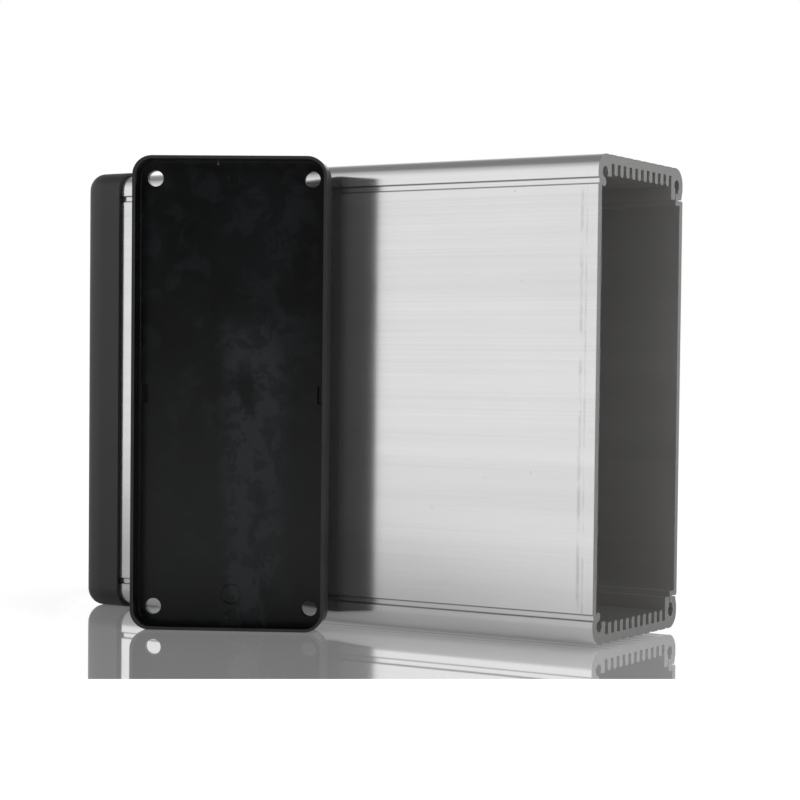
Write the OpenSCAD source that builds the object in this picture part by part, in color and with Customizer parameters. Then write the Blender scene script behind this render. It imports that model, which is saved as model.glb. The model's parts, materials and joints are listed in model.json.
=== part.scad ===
// Extruded aluminium enclosure: a C-shaped body extrusion with an internal card-guide comb, a joggled belly plate
// that slides along it, a moulded cap screwed on one end, and the cap of the other end taken off and stood beside it.
// Frame: +X out of the open end, +Y towards the belly plate, +Z up. The origin is the centre of the four screw
// channels in the open end face.

/* [Body extrusion] */
// Sawn length
body_length = 160; // [80:1:250]
// Height over the two narrow walls
body_height = 123.2; // [100:0.1:160]
// Depth over the wide wall and the belly plate
body_depth = 49.4; // [40:0.1:70]
// Outer corner radius
corner_radius = 4.4; // [3.5:0.1:5]
// Thickness of the wide wall
wide_wall = 1.9; // [1.5:0.1:2.5]
// Thickness of the narrow walls at the bottom of the card slots
narrow_wall = 2.3; // [1.6:0.1:3]

/* [Card-guide comb] */
// Number of card slots in each narrow wall
slot_count = 11; // [3:2:11]
// Distance from slot to slot
slot_pitch = 3.36; // [3:0.01:3.4]
// Width of a card slot
slot_width = 1.65; // [1.2:0.05:2]
// Height of the comb over the outer face of its wall
comb_height = 5.3; // [4.5:0.1:5.5]

/* [Screw channels] */
// Distance between the channels across the depth
channel_spacing_y = 42; // [30:0.1:42]
// Distance between the channels over the height
channel_spacing_z = 114; // [90:0.1:114]
// Radius of a channel
channel_radius = 1.475; // [1.3:0.005:1.5]

/* [Grooves in the outer faces] */
// Number of shallow grooves along each narrow wall
groove_count = 9; // [3:2:9]
// Distance from groove to groove
groove_pitch = 4.65; // [4:0.05:4.7]
// Depth of those grooves
groove_depth = 0.4; // [0.2:0.05:0.5]
// Radius of the round cutter that makes them
groove_radius = 0.9; // [0.6:0.1:1]
// Distance of each channel in the wide wall from the nearest narrow face
trim_inset = 6.95; // [6.5:0.05:7.4]
// Width of those channels
trim_width = 1.5; // [1:0.1:1.8]
// Depth of those channels
trim_depth = 0.5; // [0.3:0.05:0.7]

/* [Belly plate] */
// Thickness of the plate
plate_thickness = 1.7; // [1.4:0.1:2.2]
// Thickness of the legs that run behind the lips
leg_thickness = 1.3; // [1:0.1:1.4]
// How far the plate's rear end stays clear of the rear cap
plate_end_gap = 0.2; // [0.1:0.1:2]

/* [End caps] */
// Width over the cap, along the depth of the body
cap_width = 51.5; // [50:0.1:60]
// Height over the cap
cap_height = 125; // [124.8:0.1:140]
// Depth of the cap from its outer face to its rim
cap_depth = 13; // [11:0.5:16]
// How far the body goes into the cap
cap_grip = 7; // [4:0.5:8]
// Thickness of the rim round the body
cap_rim = 0.8; // [0.6:0.05:1]
// Radius of the rounded edge of the outer face
cap_edge_radius = 4; // [2:0.5:5]

/* [Loose cap] */
// Place of the middle of its rim, along the body and across it
loose_cap_place = [-96.3, -48.6];
// Angle between its rim and the wide wall
loose_cap_turn = 27; // [20:0.5:28]

/* [Hidden] */
$fn = 64;

half_height = body_height / 2;
half_depth = body_depth / 2;
channel_y = channel_spacing_y / 2;
channel_z = channel_spacing_z / 2;
eps = 0.01;
// How far the pieces of a section reach into each other where they join
root_overlap = 1;

// Comb
comb_half = ((slot_count - 1) * slot_pitch + slot_width) / 2;
tooth_width = slot_pitch - slot_width;
comb_tip_z = half_height - comb_height;

// Screw channel walls
near_fin_z = half_height - 5.6;
bead_radius = 1.15;
bead_y = -half_depth + 3;
bead_z = half_height - 7.1;
throat_width = 1.8;
far_fin_z = half_height - 8.5;
lip_end_z = half_height - 8.3;
lip_set_back = 0.1;
lip_taper = 0.7;
lip_taper_start_z = half_height - 5.8;
throat_outer_y = channel_y + throat_width / 2;
throat_inner_y = channel_y - throat_width / 2;

// Belly plate edges
leg_gap = 0.1;
leg_outer_y = throat_outer_y - leg_gap;
leg_inner_y = leg_outer_y - leg_thickness;
leg_tip_z = half_height - 6.7;
plate_edge_z = half_height - 8.6;
plate_edge_radius = 0.5;

// Cap details
cap_corner_radius = corner_radius + cap_rim;
cap_inner_width = cap_width - 2 * cap_rim;
cap_inner_height = cap_height - 2 * cap_rim;
side_pocket = [1.6, 4.7, 1.4];
side_pocket_inset = 0.5;
gate_radius = 1.4;
gate_depth = 0.3;
gate_inset = 2.4;
screw_hole_radius = 2.1;
screw_seat = 2.2;
head_well_radius = 3.7;

// Screws
screw_radius = 1.75;
screw_bite = 7.3;
formed_radius = 1.65;
formed_run_out = 0.2;
screw_tip_length = 2.4;
screw_tip_radius = 0.7;
head_radius = 3.3;
head_height = 2.3;
head_round = 0.9;
cross_width = 0.9;
cross_length = 3.6;
cross_depth = 1.3;

// Runs a section drawn in Y and Z along +X
module along_x(length) {
    rotate([90, 0, 90]) linear_extrude(length) children();
}

// Copies a section drawn at the top to the bottom as well
module both_ends() {
    children();
    mirror([0, 1]) children();
}

// Rectangle from its low corner to its high corner
module span(low, high) {
    translate(low) square([high[0] - low[0], high[1] - low[1]]);
}

module rounded_rectangle(width, height, radius) {
    square([width - 2 * radius, height], center = true);
    square([width, height - 2 * radius], center = true);
    for (x = [-1, 1], y = [-1, 1])
        translate([x * (width / 2 - radius), y * (height / 2 - radius)]) circle(radius);
}

// ---- Body extrusion ----

module tooth(y) {
    span([y - tooth_width / 2, comb_tip_z + tooth_width / 2],
         [y + tooth_width / 2, half_height - narrow_wall + root_overlap]);
    translate([y, comb_tip_z + tooth_width / 2]) circle(tooth_width / 2, $fn = 24);
}

module narrow_wall_section() {
    span([-half_depth, half_height - narrow_wall], [half_depth - lip_set_back, half_height]);
    for (i = [1 : slot_count - 1])
        tooth((i - slot_count / 2) * slot_pitch);
}

// Block round the screw channel at the wide wall, with the bead below it
module near_corner_section() {
    span([-half_depth, near_fin_z], [-comb_half, half_height]);
    span([-half_depth, bead_z], [bead_y, near_fin_z + root_overlap]);
    translate([bead_y, bead_z]) circle(bead_radius);
}

// Block round the far screw channel: a fin inside, a tapered lip outside and a throat between them
module far_corner_section() {
    lip_y = half_depth - lip_set_back;
    polygon([
        [comb_half, far_fin_z],
        [throat_inner_y, far_fin_z],
        [throat_inner_y, channel_z],
        [throat_outer_y, channel_z],
        [throat_outer_y, lip_end_z],
        [lip_y - lip_taper, lip_end_z],
        [lip_y, lip_taper_start_z],
        [lip_y, half_height],
        [comb_half, half_height]
    ]);
}

module body_section() {
    difference() {
        intersection() {
            union() {
                span([-half_depth, -half_height], [-half_depth + wide_wall, half_height]);
                both_ends() {
                    narrow_wall_section();
                    near_corner_section();
                    far_corner_section();
                }
            }
            translate([-lip_set_back / 2, 0])
                rounded_rectangle(body_depth - lip_set_back, body_height, corner_radius);
        }
        both_ends() {
            for (y = [-channel_y, channel_y])
                translate([y, channel_z]) circle(channel_radius);
            for (i = [0 : groove_count - 1])
                translate([(i - (groove_count - 1) / 2) * groove_pitch, half_height + groove_radius - groove_depth])
                    circle(groove_radius, $fn = 32);
            span([-half_depth - 1, half_height - trim_inset - trim_width / 2],
                 [-half_depth + trim_depth, half_height - trim_inset + trim_width / 2]);
        }
    }
}

// The rear ends of the channels, widened where the cap screws form their thread
module formed_threads() {
    for (y = [-channel_y, channel_y], z = [-channel_z, channel_z])
        translate([-body_length - 1, y, z]) rotate([0, 90, 0])
            cylinder(r = formed_radius, h = 1 + screw_bite + formed_run_out);
}

module body_extrusion() {
    color("gainsboro") difference() {
        translate([-body_length, 0, 0]) along_x(body_length) body_section();
        formed_threads();
    }
}

// ---- Belly plate ----

module plate_edge_section() {
    span([leg_inner_y, plate_edge_z - leg_thickness], [leg_outer_y, leg_tip_z]);
    span([leg_inner_y, plate_edge_z - leg_thickness], [half_depth - plate_edge_radius, plate_edge_z]);
    span([half_depth - plate_thickness, plate_edge_z - leg_thickness],
         [half_depth, plate_edge_z - plate_edge_radius]);
    translate([half_depth - plate_edge_radius, plate_edge_z - plate_edge_radius]) circle(plate_edge_radius);
}

module plate_section() {
    span([half_depth - plate_thickness, -plate_edge_z + leg_thickness / 2],
         [half_depth, plate_edge_z - leg_thickness / 2]);
    both_ends() plate_edge_section();
}

module belly_plate() {
    color("silver") translate([-body_length + plate_end_gap, 0, 0])
        along_x(body_length - plate_end_gap) plate_section();
}

// ---- End cap, drawn with its rim at X = 0 and its outer face at X = -cap_depth ----

// Edge profile of the outer face: a quarter circle between the face and the side
module edge_profile(reach) {
    square([reach - cap_edge_radius, cap_edge_radius]);
    intersection() {
        translate([reach - cap_edge_radius, cap_edge_radius]) circle(cap_edge_radius);
        translate([reach - cap_edge_radius - eps, 0]) square([cap_edge_radius + eps, cap_edge_radius]);
    }
}

// Straight run of that edge, on the +x side of a block
module edge_run(length) {
    rotate([90, 0, 0]) linear_extrude(length, center = true) edge_profile(cap_corner_radius);
}

module cap_blank() {
    flat_width = cap_width - 2 * cap_corner_radius;
    flat_height = cap_height - 2 * cap_corner_radius;
    translate([0, 0, cap_edge_radius])
        linear_extrude(cap_depth - cap_edge_radius) rounded_rectangle(cap_width, cap_height, cap_corner_radius);
    translate([-flat_width / 2, -flat_height / 2, 0]) cube([flat_width, flat_height, cap_edge_radius]);
    for (side = [0, 180]) {
        rotate([0, 0, side]) translate([flat_width / 2, 0, 0]) edge_run(flat_height);
        rotate([0, 0, side + 90]) translate([flat_height / 2, 0, 0]) edge_run(flat_width);
    }
    for (x = [-1, 1], y = [-1, 1])
        translate([x * flat_width / 2, y * flat_height / 2, 0])
            rotate_extrude() edge_profile(cap_corner_radius);
}

// The room that takes the end of the body
module cap_recess() {
    translate([0, 0, cap_depth - cap_grip])
        linear_extrude(cap_grip + 1) rounded_rectangle(cap_inner_width, cap_inner_height, corner_radius);
}

module cap_holes() {
    for (x = [-1, 1], y = [-1, 1])
        translate([x * channel_y, y * channel_z, -1]) {
            cylinder(r = screw_hole_radius, h = cap_depth);
            cylinder(r = head_well_radius, h = 1 + cap_depth - cap_grip - screw_seat);
        }
}

// The two small pockets beside the long walls of the recess, and the round sprue mark near one end of it
module cap_floor_marks() {
    floor_level = cap_depth - cap_grip;
    for (x = [-1, 1])
        translate([x * (cap_inner_width / 2 - side_pocket_inset - side_pocket[0] / 2), 0, floor_level])
            cube([side_pocket[0], side_pocket[1], 2 * side_pocket[2]], center = true);
    translate([0, -cap_inner_height / 2 + gate_inset, floor_level - gate_depth])
        cylinder(r = gate_radius, h = gate_depth + 1);
}

module end_cap() {
    rotate([90, 0, 90]) translate([0, 0, -cap_depth]) difference() {
        cap_blank();
        cap_recess();
        cap_holes();
        cap_floor_marks();
    }
}

module rear_end_cap() {
    color([0.12, 0.12, 0.12]) translate([-body_length + cap_grip, 0, 0]) end_cap();
}

module front_end_cap() {
    color([0.12, 0.12, 0.12]) translate([loose_cap_place[0], loose_cap_place[1], 0])
        rotate([0, 0, loose_cap_turn - 90]) end_cap();
}

// ---- Screws, drawn with the head's seat at X = 0 and the tip towards +X ----

module screw() {
    difference() {
        rotate([0, 90, 0]) rotate_extrude() {
            translate([0, -head_height + head_round]) square([head_radius, head_height - head_round]);
            translate([0, -head_height]) square([head_radius - head_round, head_height]);
            translate([head_radius - head_round, -head_height + head_round]) circle(head_round, $fn = 32);
            polygon([
                [0, -eps],
                [screw_radius, -eps],
                [screw_radius, screw_seat + screw_bite - screw_tip_length],
                [screw_tip_radius, screw_seat + screw_bite],
                [0, screw_seat + screw_bite]
            ]);
        }
        for (turn = [0, 90])
            rotate([turn, 0, 0]) translate([-head_height - 1, -cross_length / 2, -cross_width / 2])
                cube([cross_depth + 1, cross_length, cross_width]);
    }
}

module rear_cap_screws() {
    color("dimgray")
        for (y = [-1, 1], z = [-1, 1])
            translate([-body_length - screw_seat, y * channel_y, z * channel_z]) screw();
}

body_extrusion();
belly_plate();
rear_end_cap();
rear_cap_screws();
front_end_cap();
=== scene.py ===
"""Finishes, small moulding marks, camera, lights and floor for the extruded aluminium enclosure.

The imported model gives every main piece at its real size. This script dresses those pieces with node materials,
adds the witness marks of the moulds and the burr that the saw leaves, and sets up the view.
Lengths are in metres, in the model's own frame: X along the extrusion, Y across it, Z up.
"""

import json
import math

import bpy
import numpy as np
from mathutils import Matrix, Vector


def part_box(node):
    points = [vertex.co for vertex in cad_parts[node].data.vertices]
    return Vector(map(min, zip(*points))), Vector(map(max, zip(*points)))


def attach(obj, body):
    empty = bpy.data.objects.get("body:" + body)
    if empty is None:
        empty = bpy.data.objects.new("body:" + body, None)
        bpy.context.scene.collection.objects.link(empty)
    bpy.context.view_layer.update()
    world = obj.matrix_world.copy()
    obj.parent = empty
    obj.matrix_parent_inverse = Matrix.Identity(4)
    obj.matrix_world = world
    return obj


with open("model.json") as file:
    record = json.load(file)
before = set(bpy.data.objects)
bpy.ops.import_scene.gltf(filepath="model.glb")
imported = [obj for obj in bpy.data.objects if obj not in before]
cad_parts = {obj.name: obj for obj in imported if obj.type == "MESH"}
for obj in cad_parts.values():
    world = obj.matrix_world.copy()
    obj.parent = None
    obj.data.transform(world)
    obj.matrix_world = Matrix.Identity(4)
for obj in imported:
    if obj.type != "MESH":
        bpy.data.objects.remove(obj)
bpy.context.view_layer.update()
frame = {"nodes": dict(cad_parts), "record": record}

MM = 0.001
BODY = "housing"

body_low, body_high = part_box("body_extrusion")
plate_low, plate_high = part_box("belly_plate")
rear_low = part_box("rear_end_cap")[0]
loose_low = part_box("front_end_cap")[0]

FRONT_FACE_X = body_high.x
REAR_FACE_X = body_low.x
WIDE_WALL_Y = body_low.y
FLOOR_Z = min(rear_low.z, loose_low.z)

# Room inside the box, the two channels in the wide wall, whose side walls get painted shade, and the rub mark
# near its open end
INNER_LOW_Y = WIDE_WALL_Y + 1.5 * MM
INNER_HIGH_Y = plate_high.y - 1.2 * MM
INNER_HALF_HEIGHT = body_high.z - 1.2 * MM
TRIM_Z = body_high.z - 6.95 * MM
TRIM_HALF_WIDTH = 0.75 * MM
END_SKIN = 0.05 * MM
RUB_X = FRONT_FACE_X - 4.4 * MM

# The loose cap's own frame, from its four holes: the middle of its recess floor and the way that floor faces
cap_holes = [m for m in frame["record"]["mounts"] if m["name"].startswith("loose_cap_hole")]
CAP_FACING = Vector(cap_holes[0]["axis"]).normalized()
CAP_ACROSS = Vector((0, 0, 1)).cross(CAP_FACING)
HALF_SEAT = 1.1 * MM
CAP_FLOOR = sum((Vector(m["pos_m"]) for m in cap_holes), Vector()) / len(cap_holes) + CAP_FACING * HALF_SEAT
RECESS_DEPTH = 7 * MM
RECESS_HALF_WIDTH = 25.2 * MM
RECESS_HALF_HEIGHT = 62 * MM
CAP_RIM = CAP_FLOOR.dot(CAP_FACING) + RECESS_DEPTH
SMEAR_PLACE = (6 * MM, -22 * MM)


# ---------------------------------------------------------------- shader maths

class Field:
    """A value that varies over a surface. Arithmetic on it adds Math nodes to its material."""

    def __init__(self, kit, socket):
        self.kit = kit
        self.socket = socket

    def _math(self, operation, *operands):
        values = [o.socket if isinstance(o, Field) else o for o in operands]
        return self.kit.node("ShaderNodeMath", {"operation": operation}, dict(enumerate(values)))

    def __add__(self, other):
        return self._math("ADD", self, other)

    def __radd__(self, other):
        return self._math("ADD", other, self)

    def __sub__(self, other):
        return self._math("SUBTRACT", self, other)

    def __rsub__(self, other):
        return self._math("SUBTRACT", other, self)

    def __mul__(self, other):
        return self._math("MULTIPLY", self, other)

    def __rmul__(self, other):
        return self._math("MULTIPLY", other, self)

    def __gt__(self, other):
        return self._math("GREATER_THAN", self, other)

    def __lt__(self, other):
        return self._math("LESS_THAN", self, other)

    def clip(self):
        """The value held between 0 and 1."""
        return self.kit.node("ShaderNodeClamp", {}, {"Value": self.socket})

    def magnitude(self):
        """The value without its sign."""
        return self._math("ABSOLUTE", self)

    def ramp(self, low, high):
        """0 at low, 1 at high, smooth between."""
        settings = {"interpolation_type": "SMOOTHSTEP"}
        inputs = {"Value": self.socket, "From Min": low, "From Max": high}
        return self.kit.node("ShaderNodeMapRange", settings, inputs)


class Recipe:
    """A node tree and the calls that fill it."""

    def __init__(self, tree):
        self.tree = tree
        self.tree.nodes.clear()

    def node(self, kind, settings, inputs, output=0):
        """Adds a node, makes its settings, then fills its inputs with values, fields or sockets."""
        made = self.tree.nodes.new(kind)
        for key, value in settings.items():
            setattr(made, key, value)
        for key, value in inputs.items():
            self.fill(made.inputs[key], value)
        return Field(self, made.outputs[output]) if len(made.outputs) else made

    def fill(self, socket, value):
        if isinstance(value, Field):
            value = value.socket
        if isinstance(value, bpy.types.NodeSocket):
            self.tree.links.new(value, socket)
        else:
            socket.default_value = value


class Finish(Recipe):
    """One material and the few calls that its finish is written in."""

    def __init__(self, name):
        self.material = bpy.data.materials.new(name)
        self.material.use_nodes = True
        super().__init__(self.material.node_tree)
        self.shader = self.tree.nodes.new("ShaderNodeBsdfPrincipled")
        self.output = self.tree.nodes.new("ShaderNodeOutputMaterial")
        self.tree.links.new(self.shader.outputs["BSDF"], self.output.inputs["Surface"])
        self.place = self.node("ShaderNodeTexCoord", {}, {}, output="Object")

    def axis(self, letter):
        """One coordinate of the point on the surface, in metres."""
        return self.node("ShaderNodeSeparateXYZ", {}, {0: self.place}, output="XYZ".index(letter))

    def stretched(self, scale, turn=(0, 0, 0)):
        """Coordinates scaled per axis, so that a pattern runs along the axis with the smallest scale."""
        return self.node("ShaderNodeMapping", {}, {"Vector": self.place, "Rotation": turn, "Scale": scale})

    def noise(self, scale, detail=3, roughness=0.5, coordinates=None, distortion=0):
        """Cloudy noise from 0 to 1, with scale in cells for each metre."""
        inputs = {"Vector": coordinates or self.place, "Scale": scale, "Detail": detail,
                  "Roughness": roughness, "Distortion": distortion}
        return self.node("ShaderNodeTexNoise", {}, inputs)

    def cells(self, scale, coordinates=None):
        """Distance to the nearest of many scattered points, in cell widths."""
        return self.node("ShaderNodeTexVoronoi", {}, {"Vector": coordinates or self.place, "Scale": scale},
                         output="Distance")

    def blend(self, amount, first, second):
        """The first colour where amount is 0, the second where it is 1."""
        made = self.tree.nodes.new("ShaderNodeMix")
        made.data_type = "RGBA"
        colour_inputs = [s for s in made.inputs if s.type == "RGBA"]
        self.fill(made.inputs[0], amount)
        self.fill(colour_inputs[0], first)
        self.fill(colour_inputs[1], second)
        return Field(self, [s for s in made.outputs if s.type == "RGBA"][0])

    def rounded(self, radius):
        """Normals that turn smoothly over sharp edges, as a broken edge of that radius does."""
        return self.node("ShaderNodeBevel", {"samples": 4}, {"Radius": radius})

    def bump(self, height, distance, under):
        """Normals of a relief, with height from 0 to 1 over that distance, laid over the normals under it."""
        return self.node("ShaderNodeBump", {}, {"Height": height, "Distance": distance, "Normal": under})

    def set(self, **values):
        """Sets the shader's own sockets; an underscore stands for a space."""
        for key, value in values.items():
            self.fill(self.shader.inputs[key.replace("_", " ")], value)
        return self


def grey(level, warmth=0.0):
    """A neutral colour, a little warm or cool."""
    return (level * (1 + warmth), level, level * (1 - warmth), 1)


# ---------------------------------------------------------------- finishes

ALUMINIUM_TONE = 0.585


def near(value, target, half_width, soft):
    """1 within half_width of a target, 0 beyond it, with a soft edge."""
    return 1 - (value - target).magnitude().ramp(half_width, half_width + soft)


def aluminium(name, end_planes, tone):
    """Extruded aluminium: satin with die lines along X, sawn across at the two ends, duller inside the box.
    Painted shade darkens the side walls of the wide wall's two channels, and a lighter copy of the colour inside
    the box is painted light.
    """
    metal = Finish(name)
    x, y, z = metal.axis("X"), metal.axis("Y"), metal.axis("Z")
    sawn = (x > end_planes[1] - END_SKIN) + (x < end_planes[0] + END_SKIN)
    inside = (y > INNER_LOW_Y) * (y < INNER_HIGH_Y) * (z.magnitude() < INNER_HALF_HEIGHT)
    wide_wall = y < WIDE_WALL_Y + 0.1 * MM

    die_lines = metal.noise(1, 4, 0.6, metal.stretched((5, 1900, 1900)))
    broad_lines = metal.noise(1, 3, 0.55, metal.stretched((4, 150, 150)))
    clouds = metal.noise(30, 3, 0.5)
    saw_lines = metal.noise(1, 3, 0.6, metal.stretched((0, 420, 5200), turn=(0.16, 0, 0)))
    saw_grain = metal.noise(4200, 2, 0.6)

    # Painted shade: two dark lines along the side walls of each channel in the wide wall
    from_trim = (z.magnitude() - TRIM_Z).magnitude()
    painted_channel_shade = near(from_trim, TRIM_HALF_WIDTH, 0.05 * MM, 0.3 * MM) * (y < WIDE_WALL_Y + 1 * MM)
    rub = near(x, RUB_X, 0.2 * MM, 0.5 * MM) * near(z, 0, 50 * MM, 4 * MM) * wide_wall
    second_rub = near(x, RUB_X + 1.3 * MM, 0.1 * MM, 0.4 * MM) * near(z, 0, 54 * MM, 4 * MM) * wide_wall
    rub = (rub + second_rub * 0.7).clip()
    rub = rub * metal.noise(1, 3, 0.6, metal.stretched((400, 100, 160))).ramp(0.35, 0.65)
    marks = (metal.cells(150, metal.stretched((0.7, 1, 1))) < 0.035) * wide_wall

    wall_tone = (die_lines - 0.5) * 0.8 + (broad_lines - 0.5) * 1.0 + (clouds - 0.5) * 0.4 + 0.5
    wall_colour = metal.blend(wall_tone.clip(), grey(tone * 0.87), grey(tone * 1.1))
    # The painted shade of the channel walls darkens the colour here
    wall_colour = metal.blend((painted_channel_shade * 0.75).clip(), wall_colour, grey(tone * 0.12))
    wall_colour = metal.blend((rub * 0.4 + marks * 0.4).clip(), wall_colour, grey(tone * 0.45))
    # Painted light: inside the box the colour is a lighter copy of the metal's, lifting the shade there
    painted_light_inner_colour = metal.blend(broad_lines.clip(), grey(tone * 0.93, 0.012), grey(tone * 1.16, 0.012))
    wall_colour = metal.blend(inside, wall_colour, painted_light_inner_colour)
    saw_tone = (saw_lines - 0.5) * 1.1 + (saw_grain - 0.5) * 0.6 + 0.5
    saw_colour = metal.blend(saw_tone.clip(), grey(tone * 0.3, 0.01), grey(tone * 0.52, 0.01))

    walls = 1 - sawn
    metal.set(
        Metallic=0.9,
        Base_Color=metal.blend(sawn, wall_colour, saw_colour),
        Roughness=0.19 + (clouds - 0.5) * 0.08 + (die_lines - 0.5) * 0.06 + inside * 0.2 * walls + sawn * 0.28,
        Normal=metal.bump(
            (die_lines * 0.7 + broad_lines * 0.3 - rub * 0.4) * walls + (saw_lines * 5 + saw_grain * 2.5) * sawn,
            0.0028 * MM, under=metal.rounded(0.18 * MM)),
    )
    return metal


def cap_plastic():
    """Black moulded plastic, spark-textured, with a painted highlight that makes it a little lighter along the
    rounded outer edge.
    """
    plastic = Finish("cap_plastic")
    grain = plastic.noise(3000, 2, 0.6)
    clouds = plastic.noise(55, 4, 0.6)
    x = plastic.axis("X")
    # Painted highlight: a lighter band of colour along the rounded outer edge
    painted_edge_highlight = near(x, rear_low.x + 3.6 * MM, 0.4 * MM, 3.2 * MM)
    base = plastic.blend(clouds.ramp(0.3, 0.7), grey(0.009, 0.02), grey(0.015, 0.03))
    plastic.set(
        Base_Color=plastic.blend(painted_edge_highlight * 0.75, base, grey(0.04, 0.02)),
        Roughness=0.46 + (clouds - 0.5) * 0.12 + (grain - 0.5) * 0.1,
        Specular_IOR_Level=0.42,
        Normal=plastic.bump(grain, 0.022 * MM, under=plastic.rounded(0.25 * MM)),
    )
    return plastic


def loose_cap_plastic():
    """The same plastic where its smooth recess shows: glossier inside and, by painted shade, darker and bluer
    there, with a hazy, blotchy patch.
    """
    plastic = Finish("loose_cap_plastic")
    x, y, z = plastic.axis("X"), plastic.axis("Y"), plastic.axis("Z")
    height = x * CAP_FACING.x + y * CAP_FACING.y
    across = (x - CAP_FLOOR.x) * CAP_ACROSS.x + (y - CAP_FLOOR.y) * CAP_ACROSS.y
    between_walls = (across.magnitude() < RECESS_HALF_WIDTH) * (z.magnitude() < RECESS_HALF_HEIGHT)
    within = between_walls * (height < CAP_RIM - 0.25 * MM)
    on_floor = within * (height < CAP_RIM - RECESS_DEPTH + 0.2 * MM)

    grain = plastic.noise(3000, 2, 0.6)
    clouds = plastic.noise(48, 4, 0.6, distortion=0.4)
    specks = (plastic.cells(230) < 0.035) * (plastic.noise(80) > 0.57) * on_floor
    flecks = (plastic.cells(90, plastic.stretched((1, 1, 0.6))) < 0.03) * (plastic.noise(41) > 0.5) * on_floor

    reach = near(across, SMEAR_PLACE[0], 4 * MM, 7 * MM) * near(z, SMEAR_PLACE[1], 30 * MM, 18 * MM)
    blotches = plastic.noise(260, 4, 0.55, distortion=0.3).ramp(0.44, 0.52)
    patches = plastic.noise(1, 3, 0.5, plastic.stretched((120, 120, 60))).ramp(0.36, 0.5)
    faint = plastic.noise(130, 4, 0.6, distortion=0.3).ramp(0.5, 0.62)
    haze = (reach * (blotches * 0.6 + 0.4) * patches + faint * 0.22).clip() * on_floor

    outside = plastic.blend(clouds.ramp(0.3, 0.7), grey(0.022, -0.01), grey(0.033, -0.01))
    # Painted shade: inside the recess the colour is a much darker, bluer copy of the plastic
    inside = plastic.blend(clouds.ramp(0.35, 0.7), grey(0.0010, -0.3), grey(0.0030, -0.22))
    inside = plastic.blend(haze, inside, grey(0.017, -0.13))
    colour = plastic.blend(within, outside, inside)
    plastic.set(
        Base_Color=plastic.blend((specks + flecks * 0.6).clip(), colour, grey(0.2, -0.05)),
        Roughness=0.44 + (clouds - 0.5) * 0.12 - within * 0.2 + haze * 0.12,
        Specular_IOR_Level=0.2,
        Normal=plastic.bump(grain * (1 - within * 0.85), 0.02 * MM, under=plastic.rounded(0.25 * MM)),
    )
    return plastic


def screw_steel():
    """Black zinc plate on steel, cloudy with handling."""
    steel = Finish("screw_steel")
    clouds = steel.noise(900, 3, 0.6)
    steel.set(
        Metallic=1.0,
        Base_Color=steel.blend(clouds, grey(0.06), grey(0.13)),
        Roughness=0.34 + (clouds - 0.5) * 0.2,
        Normal=steel.bump(clouds, 0.01 * MM, under=steel.rounded(0.15 * MM)),
    )
    return steel


def dress(node, finish):
    """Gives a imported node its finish."""
    mesh = frame["nodes"][node].data
    mesh.materials.clear()
    mesh.materials.append(finish.material)


# ---------------------------------------------------------------- small marks of making

BURR_INSET = 9 * MM


def surface(name, rings, endless, finish):
    """A closed skin over rings of points. Each ring closes on itself; endless joins the last ring to the first,
    and otherwise a flat face closes each end."""
    count, size = rings.shape[:2]
    ring, point = np.meshgrid(np.arange(count if endless else count - 1), np.arange(size), indexing="ij")
    next_ring, next_point = (ring + 1) % count, (point + 1) % size
    quads = np.stack([ring * size + point, next_ring * size + point,
                      next_ring * size + next_point, ring * size + next_point], axis=-1)
    faces = quads.reshape(-1, 4).tolist()
    if not endless:
        faces += [list(range(size)), list(range(count * size - 1, (count - 1) * size - 1, -1))]
    mesh = bpy.data.meshes.new(name)
    mesh.from_pydata(rings.reshape(-1, 3).tolist(), [], faces)
    mesh.polygons.foreach_set("use_smooth", np.ones(len(mesh.polygons), dtype=bool))
    mesh.materials.append(finish.material)
    piece = bpy.data.objects.new(name, mesh)
    bpy.context.scene.collection.objects.link(piece)
    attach(piece, BODY)
    return piece


def witness_ring(name, height, radius, finish):
    """The faint ring that an ejector pin leaves on the recess floor of the loose cap.

    A low round bead carried round a circle: distance from the centre is radius + half width * cos(b), rise over
    the floor is half height * sin(b), for b once round the bead and a once round the circle.
    """
    half_width, half_height = 0.16 * MM, 0.07 * MM
    a = np.linspace(0, 2 * math.pi, 48, endpoint=False)[:, None]
    b = np.linspace(0, 2 * math.pi, 10, endpoint=False)[None, :]
    out = radius + half_width * np.cos(b) * np.ones_like(a)
    rise = half_height * np.sin(b) * np.ones_like(a)
    centre = CAP_FLOOR + Vector((0, 0, height))
    points = (np.array(centre)[None, None]
              + (out * np.cos(a))[..., None] * np.array(CAP_ACROSS)
              + (out * np.sin(a))[..., None] * np.array((0, 0, 1.0))
              + rise[..., None] * np.array(CAP_FACING))
    return surface(name, points, True, finish)


def saw_burr(name, low_z, high_z, finish):
    """The thin wire edge that the saw leaves along the inner edge of the wide wall's open end.

    A flattened tube along Z. Its reach out of the sawn face is a sum of five sines of z with uneven wavelengths,
    held between a twentieth and a fifth of a millimetre, and the tube tapers almost to nothing at both ends.
    """
    z = np.linspace(low_z, high_z, 260)[:, None]
    share = (z - low_z) / (high_z - low_z)
    taper = np.clip(np.minimum(share, 1 - share) * 18, 0.02, 1)
    waves = sum(np.sin(z / (wave * MM) + phase) for wave, phase in
                ((0.9, 0.3), (1.7, 2.1), (3.1, 4.0), (5.3, 1.2), (0.45, 5.5)))
    reach = np.clip(0.09 + 0.035 * waves, 0.05, 0.2) * MM * taper
    b = np.linspace(0, -2 * math.pi, 8, endpoint=False)[None, :]
    inner_edge = WIDE_WALL_Y + 1.9 * MM
    x = FRONT_FACE_X + reach * np.cos(b)
    y = inner_edge - 0.05 * MM + 0.045 * MM * taper * np.sin(b)
    points = np.stack([x, y * np.ones_like(x), z * np.ones_like(x)], axis=-1)
    return surface(name, points, False, finish)


# ---------------------------------------------------------------- view

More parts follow.
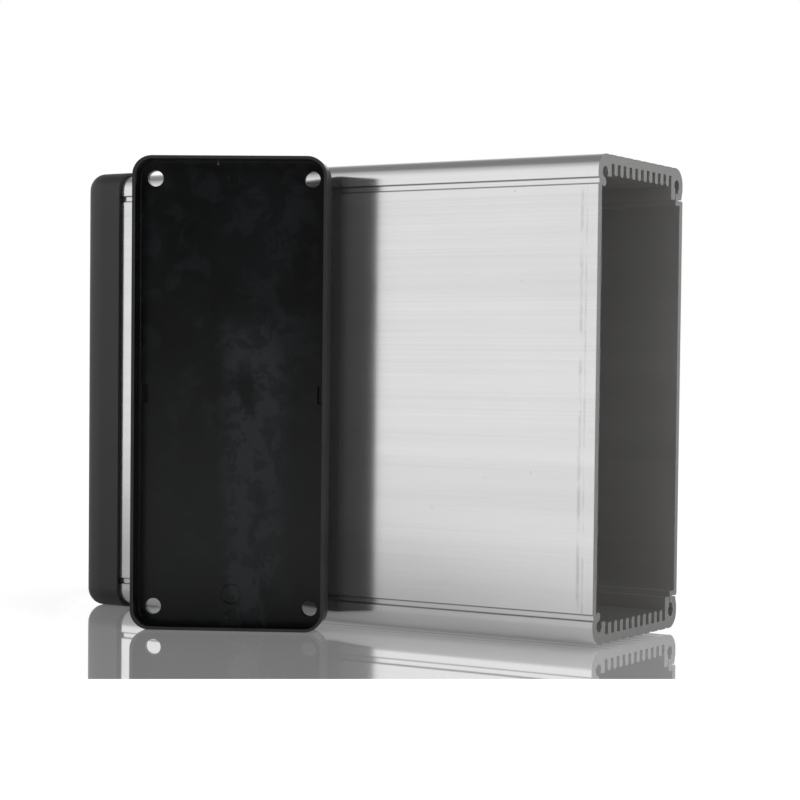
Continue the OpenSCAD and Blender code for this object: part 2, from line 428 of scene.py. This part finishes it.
CAMERA_PLACE = Vector((0.2329, -0.4780, 0.0076))
CAMERA_HEADING = math.radians(30.42)
CAMERA_TILT = math.radians(-2.01)
CAMERA_ROLL = math.radians(0.68)
CAMERA_LENS = 91.94
CAMERA_SHIFT = (-0.10, 0.05)
SENSOR_WIDTH = 36

# Room: the side that stays dim, the level of its diffuse light, and the two points that the lamps aim at
DIM_SIDE = (0.50, -0.86, 0.05)
ROOM_LIGHT = 0.5
BODY_MIDDLE = (-0.08, 0, 0)
INSIDE_MIDDLE = (-0.1, 0, 0)

# Floor: half its side, how far it lies under the object, its own glow, and how bright the object mirrors it:
# close by, dimmed there as painted shade, and what is added from the far end of a fade towards the viewer
FLOOR_REACH = 4.0
FLOOR_DROP = 0.02 * MM
FLOOR_GLOW = 0.62
FLOOR_NEAR = 0.14
FLOOR_FAR = 0.62
FAR_FADE = (-0.16, 0.0)

# Glossy sheet: its front edge as x * a + y * b = c, its middle along that edge, its gloss, and the fades at its
# back, at its sides and from a steep view to a low one
SHEET_EDGE = (-0.572, 0.820, -0.0676)
SHEET_MIDDLE = 0.068
SHEET_GLOSS = 0.84
SHEET_BACK_FADE = (0.095, 0.11)
SHEET_SIDE_FADE = (0.084, 0.092)
SHEET_VIEW_FADE = (0.66, 0.83)


def add_camera():
    data = bpy.data.cameras.new("camera")
    data.sensor_width = SENSOR_WIDTH
    data.lens = CAMERA_LENS
    data.shift_x, data.shift_y = CAMERA_SHIFT
    data.clip_start = 0.01
    camera = bpy.data.objects.new("camera", data)
    turn = (Matrix.Rotation(CAMERA_HEADING, 4, "Z")
            @ Matrix.Rotation(math.pi / 2 + CAMERA_TILT, 4, "X")
            @ Matrix.Rotation(CAMERA_ROLL, 4, "Z"))
    camera.matrix_world = Matrix.Translation(CAMERA_PLACE) @ turn
    bpy.context.scene.collection.objects.link(camera)
    bpy.context.scene.camera = camera


def add_soft_light(name, place, target, size, power):
    data = bpy.data.lights.new(name, "AREA")
    data.shape = "RECTANGLE"
    data.size, data.size_y = size
    data.energy = power
    lamp = bpy.data.objects.new(name, data)
    lamp.location = place
    lamp.rotation_mode = "QUATERNION"
    lamp.rotation_quaternion = (Vector(target) - Vector(place)).to_track_quat("-Z", "Y")
    bpy.context.scene.collection.objects.link(lamp)


def softened(recipe, direction, towards, low, high):
    """0 away from a direction and 1 around it, from the cosines low and high."""
    cosine = recipe.node("ShaderNodeVectorMath", {"operation": "DOT_PRODUCT"},
                         {0: direction, 1: Vector(towards).normalized()}, output="Value")
    return cosine.ramp(low, high)


def add_world():
    """A white room with a dim side behind the viewer and a dim ceiling; plain white where the camera looks."""
    world = bpy.data.worlds.new("studio")
    world.use_nodes = True
    room = Recipe(world.node_tree)
    direction = room.node("ShaderNodeTexCoord", {}, {}, output="Generated")
    dim_side = softened(room, direction, DIM_SIDE, 0.60, 0.97)
    dim_ceiling = softened(room, direction, (0, 0, 1), 0.3, 0.85)
    seen = room.node("ShaderNodeLightPath", {}, {}, output="Is Camera Ray")
    mirrored = room.node("ShaderNodeLightPath", {}, {}, output="Is Glossy Ray")
    level = ((1 - dim_side * 0.86) * (1 - dim_ceiling * 0.72)) * mirrored + (1 - mirrored) * ROOM_LIGHT
    strength = seen + (1 - seen) * level
    background = room.node("ShaderNodeBackground", {}, {"Color": (1, 1, 1, 1), "Strength": strength})
    room.node("ShaderNodeOutputWorld", {}, {"Surface": background})
    bpy.context.scene.world = world


def add_floor():
    """A wide white table with a glossy sheet on it, which ends a little in front of the object. As mirrored in
    the object it glows dimmer close by, a painted shade.
    """
    mesh = bpy.data.meshes.new("floor")
    level = FLOOR_Z - FLOOR_DROP
    corners = [(x * FLOOR_REACH, y * FLOOR_REACH, level) for x, y in ((-1, -1), (1, -1), (1, 1), (-1, 1))]
    mesh.from_pydata(corners, [], [(0, 1, 2, 3)])
    floor = bpy.data.objects.new("floor", mesh)
    bpy.context.scene.collection.objects.link(floor)
    top = Finish("white_table")
    depth = top.axis("X") * SHEET_EDGE[0] + top.axis("Y") * SHEET_EDGE[1]
    across = (top.axis("X") * SHEET_EDGE[1] - top.axis("Y") * SHEET_EDGE[0] + SHEET_MIDDLE).magnitude()
    sheet = (depth > SHEET_EDGE[2]) * (1 - depth.ramp(*SHEET_BACK_FADE)) * (1 - across.ramp(*SHEET_SIDE_FADE))
    far = 1 - depth.ramp(*FAR_FADE)
    low_view = top.node("ShaderNodeLayerWeight", {}, {"Blend": 0.5}, output="Facing").ramp(*SHEET_VIEW_FADE)
    lit = top.node("ShaderNodeBsdfDiffuse", {}, {"Color": (0.8, 0.8, 0.8, 1)})
    seen = top.node("ShaderNodeLightPath", {}, {}, output="Is Camera Ray")
    mirrored = top.node("ShaderNodeLightPath", {}, {}, output="Is Glossy Ray")
    # Painted shade: as mirrored in the object, the floor glows dimmer close to it and brighter further out
    strength = seen * FLOOR_GLOW + (1 - seen) * mirrored * (FLOOR_NEAR + far * FLOOR_FAR)
    glow = top.node("ShaderNodeEmission", {}, {"Color": (1, 1, 1, 1), "Strength": strength})
    body = top.node("ShaderNodeAddShader", {}, {0: lit, 1: glow})
    gloss = top.node("ShaderNodeBsdfGlossy", {}, {"Color": (1, 1, 1, 1), "Roughness": 0.03})
    shine = sheet * seen * low_view * SHEET_GLOSS
    top.fill(top.output.inputs["Surface"], top.node("ShaderNodeMixShader", {}, {0: shine, 1: body, 2: gloss}))
    mesh.materials.append(top.material)


bpy.context.scene.view_settings.view_transform = "Standard"
add_camera()
add_world()
add_floor()
add_soft_light("key", place=(-0.9, -1.4, 0.45), target=BODY_MIDDLE, size=(2.6, 2.6), power=6)
add_soft_light("opening", place=(1.1, -0.15, 0.25), target=INSIDE_MIDDLE, size=(0.9, 0.9), power=8)

extrusion_metal = aluminium("extrusion_metal", (REAR_FACE_X, FRONT_FACE_X), ALUMINIUM_TONE)
plate_metal = aluminium("plate_metal", (plate_low.x, plate_high.x), ALUMINIUM_TONE)
rear_plastic = cap_plastic()
loose_plastic = loose_cap_plastic()
black_steel = screw_steel()

dress("body_extrusion", extrusion_metal)
dress("belly_plate", plate_metal)
dress("rear_end_cap", rear_plastic)
dress("front_end_cap", loose_plastic)
dress("rear_cap_screws", black_steel)

witness_ring("ring_near_sprue", height=-53.4 * MM, radius=2.6 * MM, finish=loose_plastic)
witness_ring("ring_far", height=57 * MM, radius=1.6 * MM, finish=loose_plastic)
saw_burr("saw_burr", body_low.z + BURR_INSET, body_high.z - BURR_INSET, extrusion_metal)
